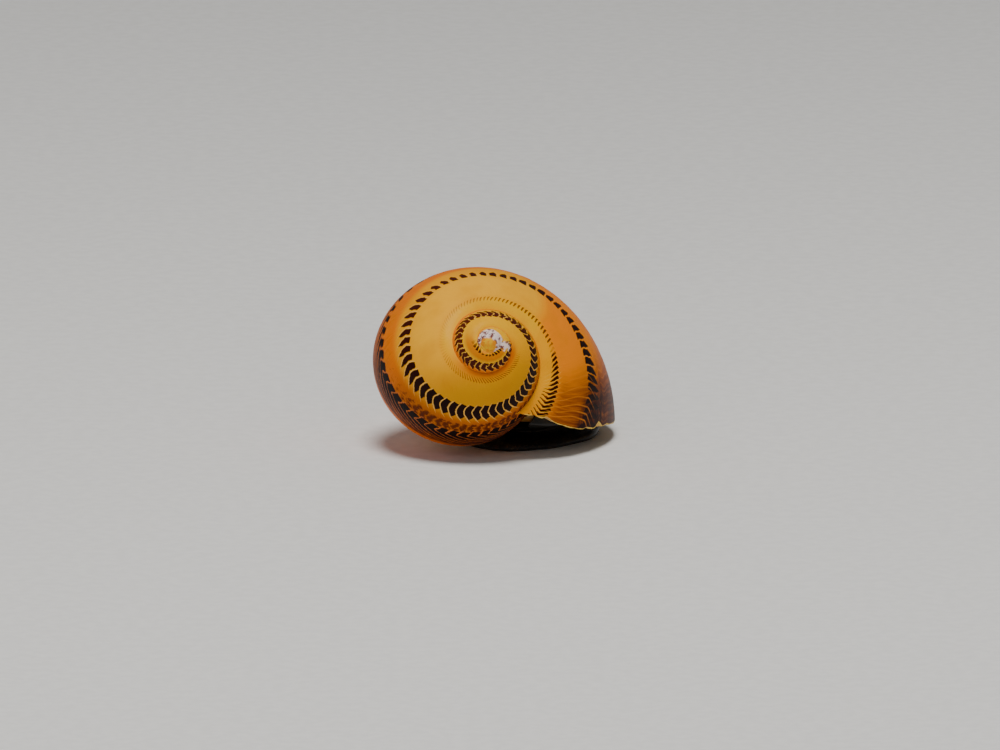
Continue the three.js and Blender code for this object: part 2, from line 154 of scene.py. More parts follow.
rise = math.radians(SPIRE_RISE)
swing = math.radians(SPIRE_SWING)
AXIS = np.array([math.sin(swing) * math.cos(rise), -math.cos(swing) * math.cos(rise), math.sin(rise)])
LEVEL = np.array([math.cos(swing), math.sin(swing), 0.0])
ACROSS = np.cross(AXIS, LEVEL)
POLE = np.array([0.0, 0.0, POLE_HEIGHT])


def on_coil(turn, out, down):
    turn, out, down = np.broadcast_arrays(turn, out, down)
    size = np.exp(GROWTH * np.radians(turn))
    angle = np.radians(COIL_ROLL - turn)
    level = (out * size * np.cos(angle))[..., None] * LEVEL
    across = (out * size * np.sin(angle))[..., None] * ACROSS
    depth = np.cbrt((down * size) ** 3 + TIP_ROUND ** 3)
    return POLE + level + across - depth[..., None] * AXIS


def whorl_arc(u):
    x = WHORL_LONG * np.cos(np.radians(u))
    y = WHORL_SHORT * np.sin(np.radians(u))
    lean = math.radians(WHORL_TILT)
    out = WHORL_OUT + x * math.cos(lean) - y * math.sin(lean)
    down = WHORL_DOWN + x * math.sin(lean) + y * math.cos(lean)
    return out, down


def base_curve(t):
    """From the end of the arc round to the lowest point of the axis."""
    start = np.array(whorl_arc(BASE_FROM))
    heading = start - np.array(whorl_arc(BASE_FROM - 1.0))
    heading /= np.linalg.norm(heading)
    bend = (WHORL_OUT * BASE_BEND, BASE_DOWN)
    place = bezier([start, start + heading * BASE_PULL, bend, (CORE_GAP, BASE_DOWN)], t)
    return place[..., 0], place[..., 1]


def whorl_section(u):
    """The outer line of the whorl for any count round the section, base included."""
    arc_out, arc_down = whorl_arc(np.minimum(u, BASE_FROM))
    base_out, base_down = base_curve(np.clip((u - BASE_FROM) / BASE_SPAN, 0.0, 1.0))
    past = u > BASE_FROM
    return np.where(past, base_out, arc_out), np.where(past, base_down, arc_down)


def section_ring():
    u = np.concatenate([
        np.linspace(SUTURE_AT, BASE_FROM, ARC_CELLS + 1),
        BASE_FROM + BASE_SPAN * np.linspace(0.0, 1.0, BASE_CELLS + 1)[1:],
    ])
    out, down = whorl_section(u)
    core_down = whorl_section(np.array([SUTURE_AT]))[1]
    return np.append(out, CORE_GAP), np.append(down, core_down)


def drawn_in(out, down, share):
    return WHORL_OUT + (out - WHORL_OUT) * share, WHORL_DOWN + (down - WHORL_DOWN) * share


def near_place(x, y, place, reach):
    return np.exp(-((x - place[0]) ** 2 + (y - place[1]) ** 2) / reach ** 2)


def lip_level(x, y, chips=1.0):
    front = np.maximum(0.0, y - LIFT_FROM) / (LIFT_TO - LIFT_FROM)
    raised = LIP_RISE * near_place(x, y, LIP_CORNER, LIP_REACH) + LIP_LIFT * front ** 2
    chipped = sum(rise * near_place(x, y, (px, py), reach) for px, py, rise, reach in LIP_NOTCHES)
    dip = LIP_DIP * near_place(x, y, DIP_PLACE, DIP_REACH)
    return POLE_HEIGHT + LIP_LEVEL + raised + chips * chipped - dip


def lip_turns(u, chips=1.0):
    """Turn at which each line along the coil meets the lip."""
    turns = np.linspace(*LIP_TURNS, 361)
    out, down = whorl_section(u)
    place = on_coil(turns[None, :], out[:, None], down[:, None])
    clear = place[..., 2] - lip_level(place[..., 0], place[..., 1], chips)
    below = clear < 0
    first = np.argmax(below, axis=1)
    found = below.any(axis=1) & (first > 0)
    at = np.clip(first, 1, len(turns) - 1)
    rows = np.arange(len(u))
    before, after = clear[rows, at - 1], clear[rows, at]
    share = np.clip(before / np.where(before == after, 1.0, before - after), 0.0, 1.0)
    turn = turns[at - 1] + share * (turns[1] - turns[0])
    return np.interp(u, u[found], turn[found])


def lip_beside(around, chips=1.0):
    """Turn of the lip at each place round the section."""
    lines = np.linspace(SUTURE_AT - 4, BASE_FROM + BASE_SPAN, 220)
    return np.interp(around, lines, lip_turns(np.clip(lines, SUTURE_AT, None), chips))


# Solids as meshes in millimetres

def ring_mesh(name, rings):
    """A closed mesh from rings of points, an array of rows, points and x, y, z."""
    rows, count = rings.shape[:2]
    middles = [rings[0].mean(axis=0), rings[-1].mean(axis=0)]
    points = np.vstack([rings.reshape(-1, 3), middles])
    i = np.arange(count)
    j = (i + 1) % count
    starts = np.arange(rows - 1) * count
    quads = [np.stack([a + i, a + j, a + count + j, a + count + i], axis=1) for a in starts]
    last = (rows - 1) * count
    caps = np.concatenate([
        np.stack([np.full(count, rows * count), j, i], axis=1),
        np.stack([np.full(count, rows * count + 1), last + i, last + j], axis=1),
    ])
    mesh = bpy.data.meshes.new(name)
    mesh.from_pydata(points.tolist(), [], np.concatenate(quads).tolist() + caps.tolist())
    mesh.update()
    return mesh


def closed_volume(mesh):
    probe = bmesh.new()
    probe.from_mesh(mesh)
    volume = probe.calc_volume(signed=True)
    probe.free()
    return volume


def link_object(name, data):
    made = bpy.data.objects.new(name, data)
    bpy.context.scene.collection.objects.link(made)
    return made


def add_object(name, mesh):
    if closed_volume(mesh) < 0:
        mesh.flip_normals()
    return link_object(name, mesh)


def add_shape(name, shape):
    mesh = bpy.data.meshes.new(name)
    shape.to_mesh(mesh)
    shape.free()
    return add_object(name, mesh)


def remove_object(made):
    mesh = made.data
    bpy.data.objects.remove(made)
    bpy.data.meshes.remove(mesh)


def ring_object(name, rings):
    return add_object(name, ring_mesh(name, rings))


def ball_object(name, middle, radius, segments, rings):
    ball = bmesh.new()
    place = Matrix.Translation(Vector(middle))
    bmesh.ops.create_uvsphere(ball, u_segments=segments, v_segments=rings, radius=radius, matrix=place)
    return add_shape(name, ball)


def hull_object(name, points):
    hull = bmesh.new()
    for p in points:
        hull.verts.new(p)
    bmesh.ops.convex_hull(hull, input=hull.verts)
    loose = [v for v in hull.verts if not v.link_faces]
    bmesh.ops.delete(hull, geom=loose, context="VERTS")
    return add_shape(name, hull)


def apply_modifiers(made):
    solved = bpy.data.meshes.new_from_object(made.evaluated_get(bpy.context.evaluated_depsgraph_get()))
    made.modifiers.clear()
    old = made.data
    made.data = solved
    bpy.data.meshes.remove(old)


def combine(base, operation, other):
    """Base joined with other or cut by it. Other is used up."""
    tool = base.modifiers.new(operation.lower(), "BOOLEAN")
    tool.operation = operation
    tool.solver = "MANIFOLD"
    tool.object = other
    apply_modifiers(base)
    remove_object(other)
    return base


def rebuild(made, cell):
    """Joins closed meshes that overlap into one, with faces of one size."""
    remesh = made.modifiers.new("remesh", "REMESH")
    remesh.mode = "VOXEL"
    remesh.voxel_size = cell
    apply_modifiers(made)


def soften(made, passes):
    soft = made.modifiers.new("soft", "SMOOTH")
    soft.factor = 0.5
    soft.iterations = passes
    apply_modifiers(made)


# Shell

def coil_stretch(name, start, end, section, step=ROW_STEP):
    out, down = section
    turns = np.linspace(start, end, int(round((end - start) / step)) + 1)
    return ring_object(name, on_coil(turns[:, None], out[None, :], down[None, :]))


def below_lip(name, drop=0.0, ragged=0.0):
    """All the space below the lip, or below a level lower than it by drop."""
    x = np.arange(CUT_X[0], CUT_X[1] + CUT_CELL, CUT_CELL)
    y = np.arange(CUT_Y[0], CUT_Y[1] + CUT_CELL, CUT_CELL)
    px, py = np.meshgrid(x, y, indexing="ij")
    ripple = sum(size * np.sin(px * in_x + py * in_y + start) for size, in_x, in_y, start in LIP_RIPPLES)
    rings = np.stack([px, py, lip_level(px, py) - drop + ragged * ripple], axis=-1)
    bottom = np.full_like(x, -20.0)
    far, near = (np.stack([x, np.full_like(x, edge), bottom], axis=-1)[:, None] for edge in (y[-1], y[0]))
    return ring_object(name, np.concatenate([rings, far, near], axis=1))


def deck_pad():
    """The deck that half closes the opening."""
    points = []
    for x, y in DECK_PLAN:
        level = float(lip_level(np.float64(x), np.float64(y)))
        points += [(x, y, level + height) for height in (0.02, 2.2)]
    first, last = DECK_ROOT
    for turn in range(first, last + 1, 6):
        around = (turn - first) / (last - first) * 34
        out, down = drawn_in(*whorl_arc(around), 0.965)
        points.append(tuple(on_coil(float(turn), float(out), float(down))))
    pad = hull_object("deck_pad", points)
    rebuild(pad, cell=0.16)
    soften(pad, passes=14)
    return pad


def opening_solid(name, inset):
    """The hollow of the last whorl, or that hollow drawn in by an inset."""
    out, down = drawn_in(*section_ring(), OPENING_SHARE - inset / WHORL_SHORT)
    section = (np.maximum(out, DECK_EDGE + inset), down)
    opening = coil_stretch(name, *OPENING_TURNS, section, 3.0)
    return combine(opening, "INTERSECT", below_lip(name + "_end", inset - OPENING_DEPTH))


def build_shell():
    section = section_ring()
    shell = coil_stretch("shell_coat", LAST_PART, COIL_END, section)
    combine(shell, "DIFFERENCE", below_lip("lip_cut", ragged=0.022))
    for start in range(COIL_START, LAST_PART, STRETCH):
        end = min(start + STRETCH, LAST_PART) + ROW_STEP * 2
        combine(shell, "UNION", coil_stretch("stretch", start, end, section))
    knob = ball_object("knob", Vector(POLE) + Vector(KNOB_PLACE), KNOB_RADIUS, 64, 40)
    combine(shell, "UNION", knob)
    combine(shell, "UNION", deck_pad())
    combine(shell, "DIFFERENCE", opening_solid("opening", 0.0))
    return shell


# Marks of the shell. A knot is (turn, value), in degrees or shares. A window is (from, to, soft).

MARKS_BEGIN = (-735, -715)

# Row A, the bold hooks along the shoulder
ROW_A_SPACING = [
    (-740, 15), (-610, 14), (-560, 10.5), (-450, 11), (-340, 8), (-300, 7.3), (-240, 7.2), (-120, 6.8),
    (-60, 6), (-15, 4.6), (60, 4),
]
ROW_A_MIDDLE = [
    (-700, -102), (-540, -103), (-490, -105), (-450, -117), (-400, -116), (-360, -108), (-300, -105),
    (-200, -105), (-150, -106), (-100, -109.5), (-40, -110), (-15, -112), (30, -112),
]
ROW_A_HALF = [
    (-740, 14), (-600, 14), (-540, 12), (-450, 12), (-400, 12), (-360, 11), (-300, 9), (-200, 7.5),
    (-150, 5.4), (-110, 4.4), (-60, 4.6), (-25, 5), (0, 5.2), (10, 6), (30, 7.5),
]
ROW_A_SHARE = [
    (-740, 0.95), (-400, 0.95), (-340, 0.89), (-240, 0.88), (-200, 0.8), (-160, 0.7), (-100, 0.62),
    (-50, 0.8), (-20, 0.8), (0, 0.85), (30, 0.7),
]
ROW_A_TAIL = [
    (-740, 0.85), (-420, 0.85), (-370, 0.7), (-325, 0.45), (-225, 0.5), (-185, 1.0), (-140, 0.95),
    (-100, 0.75), (-60, 0.55), (0, 0.65), (30, 1.05),
]
ROW_A_FULL = [(-740, 0.5), (-400, 0.55), (-325, 0.85), (-225, 0.8), (-185, 0.45), (30, 0.5)]
ROW_A_IN = [
    (-740, 0.3), (-420, 0.5), (-340, 0.6), (-262, 0.6), (-215, 0.5), (-150, 0.3), (-90, 0.1), (-50, -0.4),
    (-14, -0.6), (2, -0.2), (12, 0.4), (40, 0.5),
]
ROW_A_OUT = [
    (-740, 0.8), (-560, 1.1), (-460, 1.1), (-420, 0.9), (-340, 0.85), (-262, 0.75), (-225, 0.95),
    (-190, 1.1), (-150, 0.95), (-100, 0.9), (-60, 0.6), (-14, 0.6), (2, 0.1), (12, -0.3), (40, -0.4),
]
ROW_A_CREAM = [
    (-740, 0.7), (-560, 0.75), (-350, 0.8), (-330, 1), (-190, 1), (-150, 0.8), (-110, 0.3), (-20, 0),
    (5, 0.4), (30, 0.5),
]
ROW_A_INK = [
    (-740, 0.7), (-600, 0.6), (-500, 0.4), (-400, 0.6), (-340, 0.95), (-220, 0.95), (-180, 0.85),
    (-150, 0.7), (-110, 0.65), (-60, 0.85), (0, 1), (30, 0.9),
]
ROW_A_TIPS = [(-1.0, (-330, -215, 60)), (-1.5, (-215, -100, 60))]  # shifts of the hooks' tips
HOOK_ROUND = 6.5
SHOULDER = -112.0  # place round the section

# Row B, near the suture
ROW_B_MIDDLE = -148.5
ROW_B_SPACING = [
    (-740, 13), (-540, 14), (-400, 4.4), (-250, 4.2), (-200, 3.6), (-100, 3.8), (-12, 4.0), (5, 4.1),
    (50, 3.2),
]
ROW_B_STRENGTH = [
    (-700, 1), (-560, 1), (-530, 0), (-350, 0), (-325, 0.9), (-250, 0.9), (-205, 0.6), (-185, 0.15),
    (-160, 0.1), (-130, 0.5), (-60, 0.9), (-14, 0.95), (-9, 0.2), (-7, 0.2), (-4, 1), (60, 1),
]
ROW_B_HALF = [
    (-740, 14), (-560, 14), (-400, 5), (-200, 5), (-140, 3.6), (-15, 2.9), (0, 3.2), (14, 3.8), (30, 5),
    (60, 6),
]
ROW_B_SHARE = [
    (-740, 0.8), (-540, 0.74), (-400, 0.5), (-100, 0.46), (-30, 0.52), (-8, 0.5), (-4, 0.84), (6, 0.82),
    (18, 0.84), (30, 0.86), (60, 0.86),
]
ROW_B_INK = [
    (-700, 0.95), (-480, 0.9), (-340, 0.25), (-200, 0.2), (-150, 0.1), (-90, 0.25), (-50, 0.6), (-5, 0.95),
    (60, 1),
]
ROW_B_LEAN = [
    (-700, 0.3), (-400, 0.9), (-200, 0.9), (-150, -0.8), (-80, -0.5), (-20, 0.5), (0, 0.9), (30, 1.0),
]

# Rows C and D, low on the side
ROW_C_MIDDLE = -68.5
ROW_C_SPACING = [(-400, 8), (-100, 7.6), (60, 6)]
ROW_D_MIDDLE = -81.0
ROW_D_SPACING = [(-400, 6.4), (-100, 6), (60, 5)]

GROWTH_LINES = (-26.0, -20.0, -14.5, -10.0, -6.4, -3.2)  # degrees of coil before the lip
ARCH = (3.6, -127.0, 9.0)  # rise, place and width of their bow
ARCH_FALL = (0.8, -116.0)

# Patches of the coat, in turn and round the section
PATCHES = {
    # painted sheen: a paler peach patch high on the last whorl, where the light falls
    "peach_sheen": ((-205, -40, 70), (-146, -112, 12)),
    # painted shade with an olive tint: the lower left of the body whorl drawn darker where less light falls
    "olive_shade": ((-345, -215, 60), (-152, -90, 24)),
    # painted shade: the lower side of the body whorl drawn darker
    "lower_shade": ((-345, -195, 50), (-95, -56, 14)),
    # brownish orange on the first whorl, beside its suture
    "early_brown": ((-700, -520, 60), (-150, -122, 16)),
    "low_side": ((-345, -165, 50), (-70, -42, 10)),
    "low_front": ((-350, -262, 30), (-50, -22, 12)),
}


def count_marks(turn, knots):
    grid = np.arange(-1200.0, 120.0, 1.0)
    total = np.cumsum(1.0 / curve(grid, knots))
    return np.interp(turn, grid, total)


def hooked(aside, tip, inner, outer):
    """How far a mark's leading edge lies back at each place across it, by its slopes from the tip."""
    away = aside - tip
    bend = np.sqrt(away ** 2 + HOOK_ROUND ** 2) - HOOK_ROUND
    return bend * np.where(away < 0, inner, outer)


def within(share, window, gone=0.4):
    """Share where the window is 1, and well below nothing where it is 0."""
    return share * window - gone * (1.0 - window)


def thinned(share, across, full, tail):
    """Share of a mark across its row: full up to a place across it, then thinning out along its tail."""
    left = np.clip(1.0 - (across - full) / tail, -0.2, 1.0)
    taper = np.where(left > 0, np.abs(left) ** 0.75, left)
    return within(share * taper, smooth(-across, 1.2, 0.8))


def patch(name, turn, around):
    turns, places = PATCHES[name]
    return between(turn, turns) * between(around, places)


def row_a_marks(turn, around, growth):
    aside = around - curve(turn, ROW_A_MIDDLE)
    across = aside / curve(turn, ROW_A_HALF)
    tip = sum(shift * between(turn, window) for shift, window in ROW_A_TIPS)
    back = hooked(aside, tip, curve(turn, ROW_A_IN), curve(turn, ROW_A_OUT))
    at_lip = smooth(growth, -24, -13)
    along_lip = lip_beside(SHOULDER) - lip_beside(around)
    share, full, tail = (curve(turn, knots) for knots in (ROW_A_SHARE, ROW_A_FULL, ROW_A_TAIL))
    cream = curve(turn, ROW_A_CREAM) * smooth(growth, -22, -34)
    return {
        "a_count": count_marks(turn + back * (1.0 - at_lip) + along_lip * at_lip, ROW_A_SPACING),
        "a_share": within(thinned(share, across, full, tail), smooth(turn, *MARKS_BEGIN)),
        "a_cream": cream * smooth(across, -1.25, -0.85) * smooth(across, 2.0, 1.2),
        "a_ink": curve(turn, ROW_A_INK),
        "early": smooth(turn, -350, -400),
    }


def row_b_marks(turn, around, growth):
    aside = around - ROW_B_MIDDLE - 2.0 * smooth(-turn, 300, 360) + 8.0 * smooth(-turn, 500, 560)
    across = aside / curve(turn, ROW_B_HALF)
    lean = curve(turn, ROW_B_LEAN)
    hair = smooth(growth, -34, -18) * np.maximum(-aside - 1.5, 0.0)
    share = curve(turn, ROW_B_SHARE) * (0.8 + 0.2 * np.tanh(2.0 * across))
    share = within(share, smooth(np.abs(across), 1.15, 0.6))
    hairs = within(0.34, smooth(growth, -34, -22) * between(aside, (-8, -2, 3)))
    return {
        "b_count": count_marks(turn + lean * aside + (lean + 0.25) * hair, ROW_B_SPACING),
        "b_share": np.maximum(share, hairs),
        "b_cream": 0.8 * smooth(growth, -44, -30) * between(aside, (-8.5, 5, 3)),
        "b_strength": curve(turn, ROW_B_STRENGTH, 1.0) * smooth(turn, *MARKS_BEGIN),
        "b_ink": curve(turn, ROW_B_INK) * np.where(aside < -3, 0.55, 1.0),
        "faint": between(turn, (-400, -190, 30)),
    }


def low_row_marks(turn, around):
    c_aside = around - ROW_C_MIDDLE
    c_away = c_aside - 1.0
    c_back = 1.5 * np.maximum(c_away, 0) - 0.4 * np.minimum(c_away, 0)
    reach = 0.3 + 0.7 * between(turn, (-330, -170, 50)) + 0.3 * smooth(turn, -30, 20)
    c_share = thinned(0.92, c_aside / 6.5, 0.5, 0.55 + reach) * (0.5 + 0.5 * reach)
    d_aside = around - ROW_D_MIDDLE + 15.0 * smooth(-turn, 335, 350)
    d_far = np.abs(d_aside)
    d_along = between(turn, (-345, -205, 50)) + 0.45 * between(turn, (-205, -150, 50))
    chain = between(turn, (-450, -338, 20)) * smooth(d_far, 3.5, 1.5)
    streak = patch("low_side", turn, around) + 0.7 * patch("low_front", turn, around)
    return {
        "c_count": count_marks(turn + c_back, ROW_C_SPACING),
        "c_share": within(c_share, smooth(turn, -350, -325), 0.8),
        "c_line": between(c_aside, (-8, 22, 5)) * between(turn, (-340, -160, 50)),
        "d_count": count_marks(turn + 0.5 * d_far, ROW_D_SPACING),
        "d_share": within(0.78, np.maximum(smooth(d_far, 11, 4) * d_along, chain), 1.2),
        "streak": streak + 0.4 * between(around, (-64, -36, 14)) * smooth(turn, -190, -130),
    }


def ground_marks(turn, around, growth):
    orange = smooth(growth, -85, -70) * (0.3 + 0.7 * smooth(around, -154, -143))
    gold = between(turn, (-190, 34, 50)) * smooth(around, -144, -151)
    # painted shade: darker orange brown beside the suture's crease
    sutural = smooth(around, -146, -158) * between(turn, (-360, -215, 60))
    return {
        "yellow": np.maximum(smooth(turn, -330, -430), gold),
        # painted sheen, paler peach high on the last whorl
        "peach_sheen": patch("peach_sheen", turn, around) * (1.0 - orange),
        "orange": orange,
        "outer": smooth(around, -98, -88),
        # painted shade with an olive tint on the lower left of the body whorl
        "olive_shade": patch("olive_shade", turn, around),
        "low": smooth(around, -66, -40),
        # painted shade beside the suture, with the first whorl's brownish tint
        "brown_and_suture_shade": sutural + 0.8 * patch("early_brown", turn, around),
        # painted shade, darker low on the body whorl
        "lower_shade": patch("lower_shade", turn, around),
    }


def lip_marks(turn, around, growth):
    """Washes and growth lines. The lines follow the lip as it was before its chips."""
    brown = 0.78 + 0.22 * smooth(around, -136, -112)
    shoulder = between(around, (-121, -97, 8)) + 0.75 * between(around, (-97, -66, 10))
    rise, place, width = ARCH
    slope, fall_from = ARCH_FALL
    arch = rise * np.exp(-((around - place) / width) ** 2) - slope * np.maximum(around - fall_from, 0.0)
    waves = 0.4 * np.sin(np.radians(around * 9.0)) + 0.25 * np.sin(np.radians(around * 21.0 + 40.0))
    sides = smooth(around, -150, -138) * smooth(around, -10, -50)
    return {
        "wash": smooth(growth, -40, -12) * brown * sides,
        "brown": smooth(growth, -24, -8) * shoulder,
        "wavy": turn - lip_beside(around, chips=0.0) + arch + waves,
        "pale": smooth(growth, -38, -12) * between(around, (-146, -112, 10)),
    }


def shell_marks(turn, around):
    """Masks and counts for the colours of the shell, at each turn and place round the section."""
    growth = turn - lip_beside(around)
    marks = {"around": around, "growth": growth}
    marks |= row_a_marks(turn, around, growth)
    marks |= row_b_marks(turn, around, growth)
    marks |= low_row_marks(turn, around)
    marks |= ground_marks(turn, around, growth)
    marks |= lip_marks(turn, around, growth)
    return marks


# Places on the shell worked back to turn and place round the section

base_samples = np.linspace(0.0, 1.0, 90)
base_line = np.stack(base_curve(base_samples), axis=-1)
POINTS_AT_ONCE = 20000


def beside_base(out, down):
    """Place round the section of the nearest point of the base, and how near it is."""
    place = np.stack([out, down], axis=-1)
    nearest = np.empty(len(place), int)
    gap = np.empty(len(place))
    for first in range(0, len(place), POINTS_AT_ONCE):
        part = slice(first, first + POINTS_AT_ONCE)
        far = np.linalg.norm(place[part, None, :] - base_line[None, :, :], axis=-1)
        nearest[part] = far.argmin(axis=1)
        gap[part] = far.min(axis=1)
    return BASE_FROM + BASE_SPAN * base_samples[nearest], gap


def on_whorl(points, near_turn):
    """Turn, place round the section and distance from the surface, for points on a known whorl."""
    rel = points - POLE
    depth = -(rel @ AXIS)
    down = np.cbrt(np.maximum(depth ** 3 - TIP_ROUND ** 3, 0.0))
    level = rel @ LEVEL
    across = rel @ ACROSS
    turn = COIL_ROLL - np.degrees(np.arctan2(across, level))
    turn = near_turn + (turn - near_turn + 180.0) % 360.0 - 180.0
    size = np.exp(GROWTH * np.radians(turn))
    out = np.hypot(level, across) / size
    down = down / size
    lean = math.radians(WHORL_TILT)
    x = ((out - WHORL_OUT) * math.cos(lean) + (down - WHORL_DOWN) * math.sin(lean)) / WHORL_LONG
    y = (-(out - WHORL_OUT) * math.sin(lean) + (down - WHORL_DOWN) * math.cos(lean)) / WHORL_SHORT
    around = np.degrees(np.arctan2(y, x))
    reach = np.hypot(x, y)
    away = np.abs(reach - 1.0) * np.hypot(WHORL_LONG * x, WHORL_SHORT * y) / np.maximum(reach, 0.01) * size
    past = (around > BASE_FROM) & (around < BASE_LIMIT) & (near_turn > BASE_TURNS)
    if past.any():
        around[past], gap = beside_base(out[past], down[past])
        away[past] = gap * size[past]
    return turn, around, away


def whorl_of(points):
    """Turn on the whorl whose surface is nearest to each point, and how near that is."""
    best_turn = np.zeros(len(points))
    best_away = np.full(len(points), np.inf)
    for wrap in range(4):
        near = np.full(len(points), COIL_END - 180.0 - 360.0 * wrap)
        turn, _, away = on_whorl(points, near)
        better = away < best_away
        best_turn[better] = turn[better]
        best_away[better] = away[better]
    return best_turn, best_away


def read(items, name, width=1, kind=float):
    values = np.empty(len(items) * width, kind)
    items.foreach_get(name, values)
    return values.reshape(-1, width) if width > 1 else values


def vertex_places(mesh):
    return read(mesh.vertices, "co", 3)


def set_corner_values(mesh, name, values):
    layer = mesh.attributes.new(name, "FLOAT", "CORNER")
    layer.data.foreach_set("value", values.astype(np.float32))


CALLUS_THIN = 0.02  # millimetres off the whorl where the callus begins to cover the coat
CALLUS_FULL = 0.35
RIDGE = 0.03  # millimetres that a growth line stands out near the lip
RIPPLE = 0.005
PAUSE_AT = 76.0  # a rest in growth, back from the lip


def raise_relief(mesh, corners, marks, flat):
    growth, around = marks["growth"], marks["around"]
    near_lip = smooth(growth, -40, -12) * smooth(growth, -0.5, -2.0) * smooth(around, -100, -112)
    lines = sum(np.exp(-((marks["wavy"] - place) / 1.3) ** 2) for place in GROWTH_LINES)
    pause = np.exp(-((growth + PAUSE_AT) / 1.8) ** 2)
    ripple = np.sin(np.radians(growth * 80.0) + 1.5 * np.sin(np.radians(growth * 31.0)))
    ripple *= smooth(around, SUTURE_AT, SUTURE_AT + 12) * smooth(-growth, 0.5, 3.0)
    lift = np.where(flat, 0.0, RIDGE * lines * near_lip + 0.6 * RIDGE * pause + RIPPLE * ripple)
    count = len(mesh.vertices)
    shares = np.bincount(corners, minlength=count)
    lifts = np.bincount(corners, weights=lift, minlength=count) / np.maximum(shares, 1)
    normals = read(mesh.vertex_normals, "vector", 3, np.float32)
    places = vertex_places(mesh) + lifts[:, None] * normals
    mesh.vertices.foreach_set("co", places.ravel())
    mesh.update()


def mark_shell(mesh):
    """Puts the marks on the faces' corners, and gives the inner faces their own material."""
    middles = read(mesh.polygons, "center", 3)
    face_turn, face_away = whorl_of(middles)
    knob = POLE + np.array(KNOB_PLACE)
    tip = np.linalg.norm(middles - knob, axis=1) < KNOB_RADIUS + 0.4
    inner = (face_away > CALLUS_FULL) & ~tip
    sizes = read(mesh.polygons, "loop_total", kind=int)
    corners = read(mesh.loops, "vertex_index", kind=int)
    corner_face = np.repeat(np.arange(len(sizes)), sizes)
    points = vertex_places(mesh)[corners]
    turn, around, away = on_whorl(points, face_turn[corner_face])
    marks = shell_marks(turn, around)
    raise_relief(mesh, corners, marks, inner[corner_face] | tip[corner_face])
    marks["tip"] = np.linalg.norm(points - knob, axis=1)
    marks["heart"] = np.linalg.norm(points - (knob + KNOB_HEART), axis=1)
    marks["patch"] = smooth(np.linalg.norm(points - (knob + WORN_PATCH), axis=1), 1.0, 0.2)
    marks["callus"] = np.where(tip[corner_face], 0.0, smooth(away, CALLUS_THIN, CALLUS_FULL))
    for name, values in marks.items():
        set_corner_values(mesh, name, values)
    mesh.polygons.foreach_set("material_index", inner.astype(np.int32))


# Materials

def linear(levels):
    """Linear colour from screen levels of 0 to 255."""
    shares = [level / 255.0 for level in levels]
    return tuple(c / 12.92 if c <= 0.04045 else ((c + 0.055) / 1.055) ** 2.4 for c in shares)


class Graph:
    """A short way to write a material's nodes. Colours are screen levels of 0 to 255."""

    def __init__(self, name):
        self.material = bpy.data.materials.new(name)
        self.material.use_nodes = True
        self.tree = self.material.node_tree
        self.shader = self.tree.nodes["Principled BSDF"]

    def put(self, value, socket):
        if isinstance(value, bpy.types.NodeSocket):
            self.tree.links.new(value, socket)
        elif isinstance(value, tuple):
            socket.default_value = (*linear(value), 1.0)
        else:
            socket.default_value = value

    def node(self, kind, *values):
        node = self.tree.nodes.new("ShaderNode" + kind)
        for value, socket in zip(values, node.inputs):
            self.put(value, socket)
        return node

    def mark(self, name):
        node = self.node("Attribute")
        node.attribute_name = name
        return node.outputs["Fac"]

    def math(self, operation, *values):
        node = self.node("Math", *values)
        node.operation = operation
        return node.outputs[0]

    def add(self, first, second):
        return self.math("ADD", first, second)

    def less(self, first, second):
        return self.math("SUBTRACT", first, second)

    def times(self, first, *others):
        for other in others:
            first = self.math("MULTIPLY", first, other)
        return first

    def wobble(self, noise, size):
        return self.times(self.less(noise, 0.5), size)

    def shaken(self, value, noise, size):
        return self.add(value, self.wobble(noise, size))

    def ramp(self, value, low, high, start=0.0, end=1.0):
        node = self.node("MapRange", value, low, high, start, end)
        node.interpolation_type = "SMOOTHSTEP"
        return node.outputs[0]

    def mix(self, share, first, second):
        node = self.tree.nodes.new("ShaderNodeMix")
        node.data_type = "RGBA"
        self.put(share, node.inputs[0])
        self.put(first, node.inputs[6])
        self.put(second, node.inputs[7])
        return node.outputs[2]

    def vector(self, x, y, z):
        return self.node("CombineXYZ", x, y, z).outputs[0]

    def place(self, scale=1 / MM):
        """Position on the piece, in millimetres unless another scale is given."""
        coordinates = self.tree.nodes.new("ShaderNodeTexCoord")
        node = self.node("VectorMath", coordinates.outputs["Object"])
        node.operation = "SCALE"
        node.inputs["Scale"].default_value = scale
        return node.outputs[0]

    def noise(self, vector, scale, detail, rough=0.5):
        node = self.tree.nodes.new("ShaderNodeTexNoise")
        self.put(vector, node.inputs["Vector"])
        node.inputs["Scale"].default_value = scale
        node.inputs["Detail"].default_value = detail
        node.inputs["Roughness"].default_value = rough
        return node.outputs["Fac"]

    def random(self, value):
        node = self.tree.nodes.new("ShaderNodeTexWhiteNoise")
        node.noise_dimensions = "1D"
        self.put(value, node.inputs["W"])
        return node.outputs["Value"]

    def bump(self, height, distance, strength):
        node = self.tree.nodes.new("ShaderNodeBump")
        node.inputs["Strength"].default_value = strength
        node.inputs["Distance"].default_value = distance * MM
        self.put(height, node.inputs["Height"])
        return node.outputs["Normal"]

    def finish(self, **values):
        for name, value in values.items():
            self.put(value, self.shader.inputs[name.replace("_", " ")])
        return self.material


# Coat of the shell

GROUND = (247, 166, 0)
GROUND_TINTS = [
    ("yellow", (252, 184, 0)),
    # painted sheen: paler peach for the top of the last whorl
    ("peach_sheen", (255, 182, 34)),
    ("orange", (252, 140, 0)),
    ("outer", (240, 122, 0)),
    # painted shade: darker olive gold for the lower left of the body whorl
    ("olive_shade", (222, 152, 0)),
    ("low", (226, 104, 0)),
    # darker orange brown: painted shade beside the suture, and the first whorl's brownish tint
    ("brown_and_suture_shade", (206, 104, 0)),
    # painted shade: darker orange for the lower side of the body whorl
    ("lower_shade", (184, 92, 0)),
]
LEADING = 0.86  # where in its space along the row each mark ends
CREAM_WIDTH = 0.13


